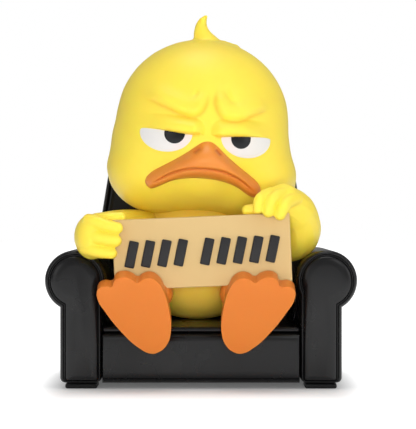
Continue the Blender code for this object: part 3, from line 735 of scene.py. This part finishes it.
def modelBeak():
    # A grid drawn to the beak's outline, pulled forward over the face, creased and given a wall, with painted
    # shade in its mouth line and nostrils
    look = beakLook
    bpy.ops.object.select_all(action="DESELECT")
    across, down = look["grid"]
    bpy.ops.mesh.primitive_grid_add(x_subdivisions=across, y_subdivisions=down, size=2)
    beak = bpy.context.object
    beak.name = "duckBeak"
    places = coordsOf(beak)
    x = look["halfWidth"] * look["widthShare"] * np.sin(places[:, 0] * math.pi / 2)
    share = (1 - np.sin(places[:, 1] * math.pi / 2)) / 2   # 0 along the top, 1 along the bottom
    top, groove, bottom = (lineHeight(look[name], x) for name in ("top", "groove", "bottom"))
    z = top + (bottom - top) * share
    outward = np.abs(x) / look["halfWidth"]
    inward = np.clip(1 - outward ** 2, 0, 1)
    reach = look["endReach"] + (look["reach"] - look["endReach"]) * inward ** look["reachFade"]
    reach = reach * np.sqrt(np.clip(1 - outward ** look["endSquare"], 0, 1))
    crest = look["crest"]
    rise = np.sin(np.clip(share / crest, 0, 1) * math.pi / 2) ** look["riseRound"]
    fall = np.sqrt(np.clip(1 - np.clip((share - crest) / (1 - crest), 0, 1) ** look["rim"], 0, 1))
    fade = 1 - ramp(*look["grooveEnd"], np.abs(x))
    dip = bell(z - groove, look["grooveWidth"])
    below = ramp(*look["lipBand"], z - groove)
    depth = reach * rise * fall - fade * (look["grooveDepth"] * dip + look["lipBack"] * below * fall)
    x = x + look["shift"]
    plane = np.stack([x, z], axis=1)
    # painted shade in the mouth line, then in the nostrils
    paintedLight = fade * dip
    for line in look["nostrils"]:
        dent = bell(lineDistance(plane, line)[0], look["nostrilWidth"])
        depth = depth - look["nostrilDepth"] * dent
        paintedLight = np.maximum(paintedLight, look["nostrilPaintedShade"] * dent)
    y = faceY(x, z) - depth + look["seat"]
    setCoords(beak, np.stack([x, y, z], axis=1) * mm)
    markPaintedLight(beak, look["paintedShadeTone"] * paintedLight)
    wall = beak.modifiers.new("wall", "SOLIDIFY")
    wall.thickness = look["wall"] * mm
    wall.offset = -1
    applyModifiers(beak)
    tidyMesh(beak)
    moveMesh(beak, headPlace)
    place(paint(beak, "billVinyl"), "orange_vinyl", "beak", angle=75)


modelBeak()
print("beak done")


# Body, arms and legs

bodyLook = {
    "middleX": -1.5,
    "belly": ((-1.5, 0, 36.8), (22.4, 21.5, 15.9)),
    "chest": ((-1.5, 1, 50), (20, 16.5, 13)),
    "voxel": 0.8, "rounds": 14,
}

# Limbs, fingers and thumbs are x, y, z and radius in mm; the back of a hand is its middle and half size
armLook = {
    "voxel": 0.3, "rounds": 5,
    "leftLimb": ((-17.5, -3, 49.5, 8), (-26, -14, 50, 7.6), (-32.4, -25.5, 49.2, 7.5)),
    "leftHandBack": ((-34.8, -29.6, 48.9), (5.8, 8.2, 7.3)),
    "leftFingers": (((-35.6, -34.2, 54.1, 2.2), (-33.2, -35.9, 53.6, 2.15), (-29.8, -36.7, 52.5, 2.0),
                     (-26.5, -36.8, 51.7, 1.9)),
                    ((-36.8, -34.0, 49.4, 2.2), (-34.2, -35.9, 49.0, 2.1), (-30.7, -36.7, 48.2, 2.05),
                     (-27.0, -36.9, 47.7, 2.0)),
                    ((-36.6, -34.0, 45.1, 2.1), (-34.4, -35.8, 44.7, 2.0), (-31.3, -36.6, 44.0, 1.9),
                     (-28.2, -36.7, 43.7, 1.8))),
    "leftThumb": ((-34, -29, 53.2, 3.0), (-29.6, -31.3, 54.5, 2.3), (-25.6, -31.6, 55.1, 1.75)),
    "rightLimb": ((18.5, -4, 51, 8), (30.4, -15, 48.9, 7.9), (30.3, -23.5, 56.6, 6.9),
                  (26.4, -28.6, 60.2, 5.8)),
    "rightHandBack": ((25.2, -30.0, 60.3), (6.6, 4.6, 5.0)),
    "rightFingers": (((22.5, -30.8, 63.0, 1.9), (19.9, -34.3, 62.0, 1.75), (18.2, -36.5, 60.2, 1.65),
                      (18.0, -36.7, 57.7, 1.6)),
                     ((26.2, -31.8, 62.6, 2.15), (23.4, -35.3, 61.4, 2.0), (21.9, -36.8, 59.2, 1.9),
                      (21.3, -36.9, 56.8, 1.85)),
                     ((30.2, -30.8, 61.0, 2.25), (27.7, -34.7, 60.0, 2.05), (26.1, -36.8, 58.0, 1.95),
                      (25.0, -36.9, 55.9, 1.85))),
    "rightThumb": ((19.5, -30.5, 57.9, 2.0), (17.0, -30.8, 57.5, 2.0), (14.9, -30.9, 57.3, 1.95)),
}

# The left foot's sole is x from the body's middle and z from the heel, its leg x, y, z and radius, in mm
legLook = {
    "sole": ((-14.3, 0), (-18.1, 1.9), (-23.7, 7.5), (-28.4, 14), (-30.9, 18.6), (-30.9, 21.6),
             (-28.9, 22.9), (-26.4, 22.9), (-25.4, 25), (-23, 26), (-20.4, 25.4), (-18.4, 24.2),
             (-16.6, 25.3), (-14.3, 25.7), (-12, 24.4), (-10.2, 21.2), (-8.6, 15), (-8, 7.5),
             (-9.4, 2.9), (-11.8, 0.6)),
    "thickness": 6, "rounding": 1.9, "roundSteps": 5, "soleSteps": 10,
    "lean": 20, "heelHeight": 11.8, "heelFront": -34.6,
    "leg": ((-12.6, -31, 30.8, 5.2), (-12.9, -22, 30.8, 5.3), (-13, -14, 30.8, 5.4)),
}


def modelTorso():
    forms = [ball(scaled(bodyLook[part][0]), scaled(bodyLook[part][1])) for part in ("belly", "chest")]
    torso = joined("duckTorso", forms)
    blended(torso, bodyLook["voxel"] * mm, bodyLook["rounds"], levels=1)
    # its warmer paint is painted shade for the belly and neck
    place(paint(torso, "bodyVinylPaintedShade"), "yellow_vinyl", "torso", angle=70)


def modelArm(sideName):
    look = armLook
    forms = [limb(look[sideName + "Limb"]), limb(look[sideName + "Thumb"])]
    middle, size = look[sideName + "HandBack"]
    forms.append(ball(scaled(middle), scaled(size)))
    forms += [limb(finger) for finger in look[sideName + "Fingers"]]
    arm = joined("duckArm" + sideName.title(), forms)
    blended(arm, look["voxel"] * mm, look["rounds"])
    place(paint(arm, "yellowVinyl"), "yellow_vinyl", "arm_" + sideName, angle=70)


def modelLeg(sideName, side):
    look = legLook
    x = bodyLook["middleX"]
    sole = [scaled(point) for point in look["sole"]]
    foot = outlinePlate("foot", sole, look["thickness"] * mm, look["soleSteps"])
    beveled(foot, look["rounding"] * mm, look["roundSteps"])
    lean = Matrix.Rotation(math.radians(look["lean"]), 4, "X")
    moveMesh(foot, Matrix.Translation(scaled((x, look["heelFront"], look["heelHeight"]))) @ lean)
    shin = limb([(x + across, y, z, radius) for across, y, z, radius in look["leg"]])
    leg = joined("duckLeg" + sideName.title(), [foot, shin])
    if side > 0:
        mirrorMesh(leg, x * mm)
    place(paint(leg, "orangeVinyl"), "orange_vinyl", "leg_" + sideName)


modelTorso()
for sideName in sides:
    modelArm(sideName)
for sideName, side in sides.items():
    modelLeg(sideName, side)
print("body, arms and legs done")


# Placard

signLook = {
    "size": (56.5, 2.5, 22.4), "centre": (0.4, -33.25, 44.2), "tilt": 2.4, "edge": 0.45,
    "markSize": (3.1, 1.2, 8.6), "markPitch": 5.2, "markGroups": (4, 5), "groupGap": 3.2, "slant": 14,
    "markEdge": 0.42, "markSunk": 0.1,
}


def modelBlock(name, size, matrix, edge):
    bpy.ops.object.select_all(action="DESELECT")
    bpy.ops.mesh.primitive_cube_add(size=1, scale=size)
    piece = applyPlace(bpy.context.object)
    piece.name = name
    beveled(piece, edge, fineness["blockEdge"])
    return moveMesh(piece, matrix)


def modelPlacard():
    look = signLook
    turn = Matrix.Rotation(-math.radians(look["tilt"]), 4, "Y")
    middle = Matrix.Translation(scaled(look["centre"])) @ turn
    board = modelBlock("placardBoard", scaled(look["size"]), middle, look["edge"] * mm)
    place(paint(board, "tanBoard"), "placard", "sign_board")
    start = 0
    places = []
    for count in look["markGroups"]:
        places += [start + look["markPitch"] * step for step in range(count)]
        start = places[-1] + look["markPitch"] + look["groupGap"]
    half = (places[0] + places[-1]) / 2
    front = look["markSunk"] - (look["size"][1] + look["markSize"][1]) / 2
    for number, across in enumerate(places, 1):
        matrix = (middle @ Matrix.Translation(scaled((across - half, front, 0)))
                  @ Matrix.Rotation(math.radians(look["slant"]), 4, "Y"))
        mark = modelBlock(f"placardMark{number}", scaled(look["markSize"]), matrix, look["markEdge"] * mm)
        place(paint(mark, "markPaint"), "placard_mark", f"sign_mark_{number}")


modelPlacard()
print("placard done")


# Armchair

# armFront, armRear and backFront go from the rim inward: how far an outline is drawn in, how deep it lies
chairLook = {
    "front": -30, "armLength": 66, "armSpacing": 80.8, "armWidth": 13.3, "armInside": 32.0,
    "rollRadius": 9.8, "rollHeight": 34.7, "rollSteps": 40, "underside": 2.0,
    "armMargins": (0.84, 0.5, 0.38),   # how much of that comes off outside, inside and below
    "armFront": ((0, 2.7), (0.08, 2.2), (0.3, 1.65), (0.6, 1.28), (0.95, 1.06), (1.25, 1.04), (1.42, 1.16),
                 (1.52, 1.5), (1.6, 1.2), (1.7, 1.02), (1.84, 0.96), (1.98, 1.02), (2.06, 1.2), (2.12, 1.5),
                 (2.2, 1.15), (2.4, 0.86), (2.8, 0.6), (3.4, 0.37), (4.2, 0.18), (5.1, 0.06), (6.0, 0.0)),
    "armRear": ((0, 2.0), (0.12, 1.2), (0.5, 0.6), (1.1, 0.3), (1.5, 0.35), (1.65, 0.6), (1.8, 0.3),
                (2.5, 0.1), (3.6, 0)),
    "frontCorner": 1.7, "cornerLoss": 0.4, "leastCorner": 0.2, "cornerSteps": 6,
    "frontOut": 0.1, "rearOut": 0.15,
    "seatTop": 17.8, "seatDepth": 50, "seatSetback": 1.5, "seatEdge": 0.6,
    "panelFront": ((0, -0.5), (0, 0), (0.15, 0.5), (0.45, 0.85), (0.9, 1.1), (1.5, 1.25), (2.4, 1.3)),
    "panelSide": 0.1, "panelNarrowing": 0.3, "panelLow": 1.3, "panelHigh": 0.15,
    "welts": ((0.55, 0.5), (1.2, 0.2)), "weltOut": 0.1,   # height above the underside, radius
    "cushionHeight": 1.7, "cushionCrown": 1.2, "crownSquare": 4, "crownBand": (-0.3, 0.6),
    "cushionEdge": 0.75, "cushionSteps": 5, "cushionVoxel": 0.4, "cushionRounds": 1,
    "backTop": 86, "backShoulder": 70, "backWaist": 56, "backHalf": 35, "backShoulderHalf": 32.8,
    "backFront": ((0, 2.3), (0.1, 1.6), (0.4, 0.9), (0.8, 0.6), (1.1, 0.7), (1.3, 1.1), (1.55, 1.45),
                  (1.8, 1.1), (1.95, 0.75), (2.2, 0.6), (2.6, 0.6), (3.0, 0.72), (3.6, 0.75), (5.5, 0.7)),
    "backSteps": 24,
    "backThickness": 15.4, "backLean": 4, "backIn": 0.1, "backShort": 0.15, "backGap": 0.05, "gap": 0.3,
}


def armOutline(outer, inner, low):
    # The scroll arm's front: a round roll on a straight post, drawn in from its edge by the margins
    look = chairLook
    roll = look["rollRadius"] - outer
    inside = look["armInside"] + inner
    outside = look["armInside"] + look["armWidth"] - outer
    bottom = look["underside"] + low
    middle = look["armSpacing"] / 2
    first = -math.acos(min(1, (outside - middle) / roll))
    last = math.pi + math.acos(min(1, (middle - inside) / roll))
    steps = look["rollSteps"]
    turns = [first + (last - first) * step / steps for step in range(steps + 1)]
    arc = [(middle + roll * math.cos(turn), look["rollHeight"] + roll * math.sin(turn)) for turn in turns]
    return [(inside, bottom), (outside, bottom)] + arc


def roundedFoot(outline, radius):
    # The same closed outline with its two lower corners rounded
    left, low = outline[0]
    right = outline[1][0]
    steps = chairLook["cornerSteps"]
    rounded = []
    for middle, first in ((left + radius, math.pi), (right - radius, 1.5 * math.pi)):
        for step in range(steps + 1):
            turn = first + math.pi / 2 * step / steps
            rounded.append((middle + radius * math.cos(turn), low + radius + radius * math.sin(turn)))
    return rounded + outline[2:]


def armRing(margin, y):
    look = chairLook
    margins = [margin * share for share in look["armMargins"]]
    corner = max(look["leastCorner"], look["frontCorner"] - look["cornerLoss"] * margin)
    return [(x, y, z) for x, z in roundedFoot(armOutline(*margins), corner)]


def modelChairArm(sideName, side):
    # One moulding: a rounded rim, a groove, a line of piping, a second groove and a stuffed front
    look = chairLook
    front = look["front"] - look["frontOut"]
    back = look["front"] + look["armLength"] + look["rearOut"]
    rings = [armRing(margin, front + depth) for margin, depth in reversed(look["armFront"])]
    rings += [armRing(margin, back - depth) for margin, depth in look["armRear"]]
    arm = stacked("chairArm" + sideName.title(), rings)
    if side < 0:
        mirrorMesh(arm)
    place(paint(arm, "blackPadding"), "chair_black", "chair_arm_" + sideName, angle=75)


def modelSeat():
    # The seat box with its stuffed front panel, and two lines of piping below the panel
    look = chairLook
    half = look["armInside"] - look["gap"]
    front = look["front"] + look["seatSetback"]
    depth = look["seatDepth"]
    underside = look["underside"]
    height = look["seatTop"] - underside
    middle = Matrix.Translation(scaled((0, front + depth / 2, underside + height / 2)))
    base = modelBlock("seatBase", scaled((2 * half, depth, height)), middle, look["seatEdge"] * mm)
    wide = half - look["panelSide"]
    low, high = underside + look["panelLow"], look["seatTop"] - look["panelHigh"]
    rings = []
    for margin, out in look["panelFront"]:
        x, lowZ, highZ = wide - look["panelNarrowing"] * margin, low + margin, high - margin
        corners = ((-x, lowZ), (x, lowZ), (x, highZ), (-x, highZ))
        rings.append([(across, front - out, up) for across, up in corners])
    panel = stacked("panel", list(reversed(rings)))
    welts = []
    for rise, radius in look["welts"]:
        ends = [scaled((x, front - look["weltOut"], underside + rise)) for x in (-wide, wide)]
        welts.append(bead("welt", ends, radius * mm))
    seat = joined("seatBase", [base, panel] + welts)
    place(paint(seat, "blackPadding"), "chair_black", "seat_base", angle=50)


def modelCushion():
    # A thin slab with softened edges, whose top swells to a low crown
    look = chairLook
    half = look["armInside"] - look["gap"]
    low = look["seatTop"] + look["gap"]
    front = look["front"] + look["seatSetback"] + look["gap"]
    deep = (look["seatDepth"] - look["gap"]) / 2
    bpy.ops.object.select_all(action="DESELECT")
    bpy.ops.mesh.primitive_cube_add(size=2)
    cushion = bpy.context.object
    cushion.name = "seatCushion"
    moveMesh(cushion, Matrix.Diagonal((*scaled((half, deep, look["cushionHeight"] / 2)), 1)))
    beveled(cushion, look["cushionEdge"] * mm, look["cushionSteps"])
    blended(cushion, look["cushionVoxel"] * mm, look["cushionRounds"])
    places = coordsOf(cushion) / mm
    across = np.clip(1 - (places[:, 0] / half) ** look["crownSquare"], 0, 1)
    along = np.clip(1 - (places[:, 1] / deep) ** look["crownSquare"], 0, 1)
    places[:, 2] += look["cushionCrown"] * across * along * ramp(*look["crownBand"], places[:, 2])
    places += (0, front + deep, low + look["cushionHeight"] / 2)
    setCoords(cushion, places * mm)
    place(paint(cushion, "blackPadding"), "chair_black", "seat_cushion", angle=50)


def backOutline(margin):
    # Up beside the post, round the arm's roll, out to the waist and over the shoulder, then mirrored
    look = chairLook
    steps = look["backSteps"]
    neck = look["armInside"] - look["backGap"] - margin
    middle = look["armSpacing"] / 2
    hug = look["rollRadius"] + look["backGap"] + margin
    first = math.pi + math.acos(min(1, (middle - neck) / hug))
    last = math.pi - math.acos(min(1, (middle - look["backHalf"] + margin) / hug))
    half = [(neck, look["underside"] + margin)]
    for step in range(steps + 1):
        turn = first + (last - first) * step / steps
        half.append((middle + hug * math.cos(turn), look["rollHeight"] + hug * math.sin(turn)))
    half.append((look["backHalf"] - margin, look["backWaist"]))
    wide = look["backShoulderHalf"] - margin
    rise = look["backTop"] - look["backShoulder"] - margin
    for step in range(steps):
        turn = math.pi / 2 * step / steps
        half.append((wide * math.cos(turn), look["backShoulder"] + rise * math.sin(turn)))
    return half + [(0, look["backTop"] - margin)] + [(-x, z) for x, z in reversed(half)]


def backRing(margin, y):
    return [(x, y, z) for x, z in backOutline(margin)]


def modelBackrest():
    # Fitted between the arms, then leant back from its foot
    look = chairLook
    front = look["front"] + look["seatSetback"] + look["seatDepth"] + look["gap"] + look["backIn"]
    back = front + look["backThickness"] - look["backShort"]
    rings = [backRing(margin, front + depth) for margin, depth in reversed(look["backFront"])]
    rings += [backRing(margin, back - depth) for margin, depth in look["armRear"]]
    chairBack = stacked("chairBack", rings)
    lean = Matrix.Identity(4)
    lean[1][2] = math.tan(math.radians(look["backLean"]))
    lift = Matrix.Translation((0, 0, look["underside"] * mm))
    moveMesh(chairBack, lift @ lean @ lift.inverted())
    place(paint(chairBack, "blackPadding"), "chair_black", "backrest", angle=75)


for sideName, side in sides.items():
    modelChairArm(sideName, side)
modelSeat()
modelCushion()
modelBackrest()
for end in ("front", "rear"):   # the chair's feet are plain blocks, and are the solids themselves
    for sideName in sides:
        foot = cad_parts[f"chair_foot_{end}_{sideName}"]
        paint(foot, "blackFoot")
print("armchair done")


# Floor, light and camera

# Lengths are in metres; the floor shines by itself only beyond the footprint, and sooner to the sides
studioLook = {
    "floorSize": 6.0, "floorTone": 0.8, "nearGlow": 0.1, "farGlow": 1.0, "footprint": (0.040, 0.03, 0),
    "sideways": (4, 1, 1), "glowFrom": 0.0, "glowTo": 0.085, "world": 0.4, "lampAim": (0, 0, 0.06),
    "distance": 0.6, "frontY": -0.030, "middle": (0.00224, 0.056), "pixel": 0.00032, "pictureHeight": 429,
    "filmWidth": 36, "clip": (0.01, 20),
}

# Each lamp's place, width and power, and whether it shows in glossy surfaces
lamps = {
    "key": ((0.4, -0.6, 0.55), 0.35, 0.7, True),
    "fill": ((-0.5, -0.6, 0.25), 0.4, 0.5, True),
    "side": ((0.65, -0.3, 0.25), 0.4, 0.65, True),
    "top": ((0.0, -0.02, 0.8), 0.45, 1.65, True),
    "front": ((0.0, -0.95, 0.06), 0.5, 1.0, False),
    "bounce": ((0.01, -0.32, 0.01), 0.16, 0.75, False),
}


def areaLamp(name, spot, size, power, glossy):
    lamp = bpy.data.lights.new(name, "AREA")
    lamp.shape = "DISK"
    lamp.size = size
    lamp.energy = power
    holder = bpy.data.objects.new(name, lamp)
    holder.location = spot
    aim = Vector(studioLook["lampAim"]) - Vector(spot)
    holder.rotation_euler = aim.to_track_quat("-Z", "Y").to_euler()
    holder.visible_glossy = glossy
    bpy.context.scene.collection.objects.link(holder)


def vectorStep(tree, operation, before):
    node = tree.nodes.new("ShaderNodeVectorMath")
    node.operation = operation
    tree.links.new(before, node.inputs[0])
    return node


def floorFinish():
    # White far off, as the camera and reflections see it, and matt near the figure, where its shadow falls
    look = studioLook
    finish = bpy.data.materials.new("studioFloor")
    finish.use_nodes = True
    tree = finish.node_tree
    tree.nodes.clear()
    link = tree.links.new
    out = tree.nodes.new("ShaderNodeOutputMaterial")
    matt = tree.nodes.new("ShaderNodeBsdfDiffuse")
    matt.inputs["Color"].default_value = (look["floorTone"],) * 3 + (1,)
    glow = tree.nodes.new("ShaderNodeEmission")
    path = tree.nodes.new("ShaderNodeLightPath")
    seen = tree.nodes.new("ShaderNodeMath")
    seen.operation = "MAXIMUM"
    link(path.outputs["Is Camera Ray"], seen.inputs[0])
    link(path.outputs["Is Glossy Ray"], seen.inputs[1])
    here = tree.nodes.new("ShaderNodeTexCoord")
    fromMiddle = vectorStep(tree, "ABSOLUTE", here.outputs["Object"])
    beyond = vectorStep(tree, "SUBTRACT", fromMiddle.outputs["Vector"])
    beyond.inputs[1].default_value = look["footprint"]
    outside = vectorStep(tree, "MAXIMUM", beyond.outputs["Vector"])
    stretch = vectorStep(tree, "MULTIPLY", outside.outputs["Vector"])
    stretch.inputs[1].default_value = look["sideways"]
    length = vectorStep(tree, "LENGTH", stretch.outputs["Vector"])
    spread = tree.nodes.new("ShaderNodeMapRange")
    spread.interpolation_type = "SMOOTHSTEP"
    setInputs(spread, {"From Min": look["glowFrom"], "From Max": look["glowTo"],
                       "To Min": look["nearGlow"], "To Max": look["farGlow"]})
    link(length.outputs["Value"], spread.inputs["Value"])
    amount = tree.nodes.new("ShaderNodeMath")
    amount.operation = "MULTIPLY"
    link(seen.outputs["Value"], amount.inputs[0])
    link(spread.outputs["Result"], amount.inputs[1])
    link(amount.outputs["Value"], glow.inputs["Strength"])
    both = tree.nodes.new("ShaderNodeAddShader")
    link(matt.outputs["BSDF"], both.inputs[0])
    link(glow.outputs["Emission"], both.inputs[1])
    link(both.outputs["Shader"], out.inputs["Surface"])
    return finish


def studio():
    look = studioLook
    bpy.ops.object.select_all(action="DESELECT")
    bpy.ops.mesh.primitive_plane_add(size=look["floorSize"], location=(0, 0, 0))
    floor = bpy.context.object
    floor.name = "studioFloor"
    floor.data.materials.append(floorFinish())
    for name, lamp in lamps.items():
        areaLamp(name + "Lamp", *lamp)
    world = bpy.data.worlds.new("studio")
    bpy.context.scene.world = world
    world.use_nodes = True
    tree = world.node_tree
    link = tree.links.new
    sky = tree.nodes["Background"]
    sky.inputs["Color"].default_value = (1, 1, 1, 1)
    path = tree.nodes.new("ShaderNodeLightPath")
    level = tree.nodes.new("ShaderNodeMapRange")
    setInputs(level, {"To Min": look["world"], "To Max": 1.0})   # plain white where the camera sees it
    link(path.outputs["Is Camera Ray"], level.inputs["Value"])
    link(level.outputs["Result"], sky.inputs["Strength"])


def camera():
    look = studioLook
    lens = bpy.data.cameras.new("photoCamera")
    lens.sensor_width = look["filmWidth"]
    lens.lens = look["filmWidth"] * look["distance"] / (look["pictureHeight"] * look["pixel"])
    lens.clip_start, lens.clip_end = look["clip"]
    holder = bpy.data.objects.new("photoCamera", lens)
    x, z = look["middle"]
    holder.location = (x, look["frontY"] - look["distance"], z)
    holder.rotation_euler = (math.radians(90), 0, 0)
    bpy.context.scene.collection.objects.link(holder)
    bpy.context.scene.camera = holder
    bpy.context.scene.view_settings.view_transform = "Standard"


bpy.data.objects.remove(blank)   # it was only the guide for the face
studio()
camera()
print("studio done")
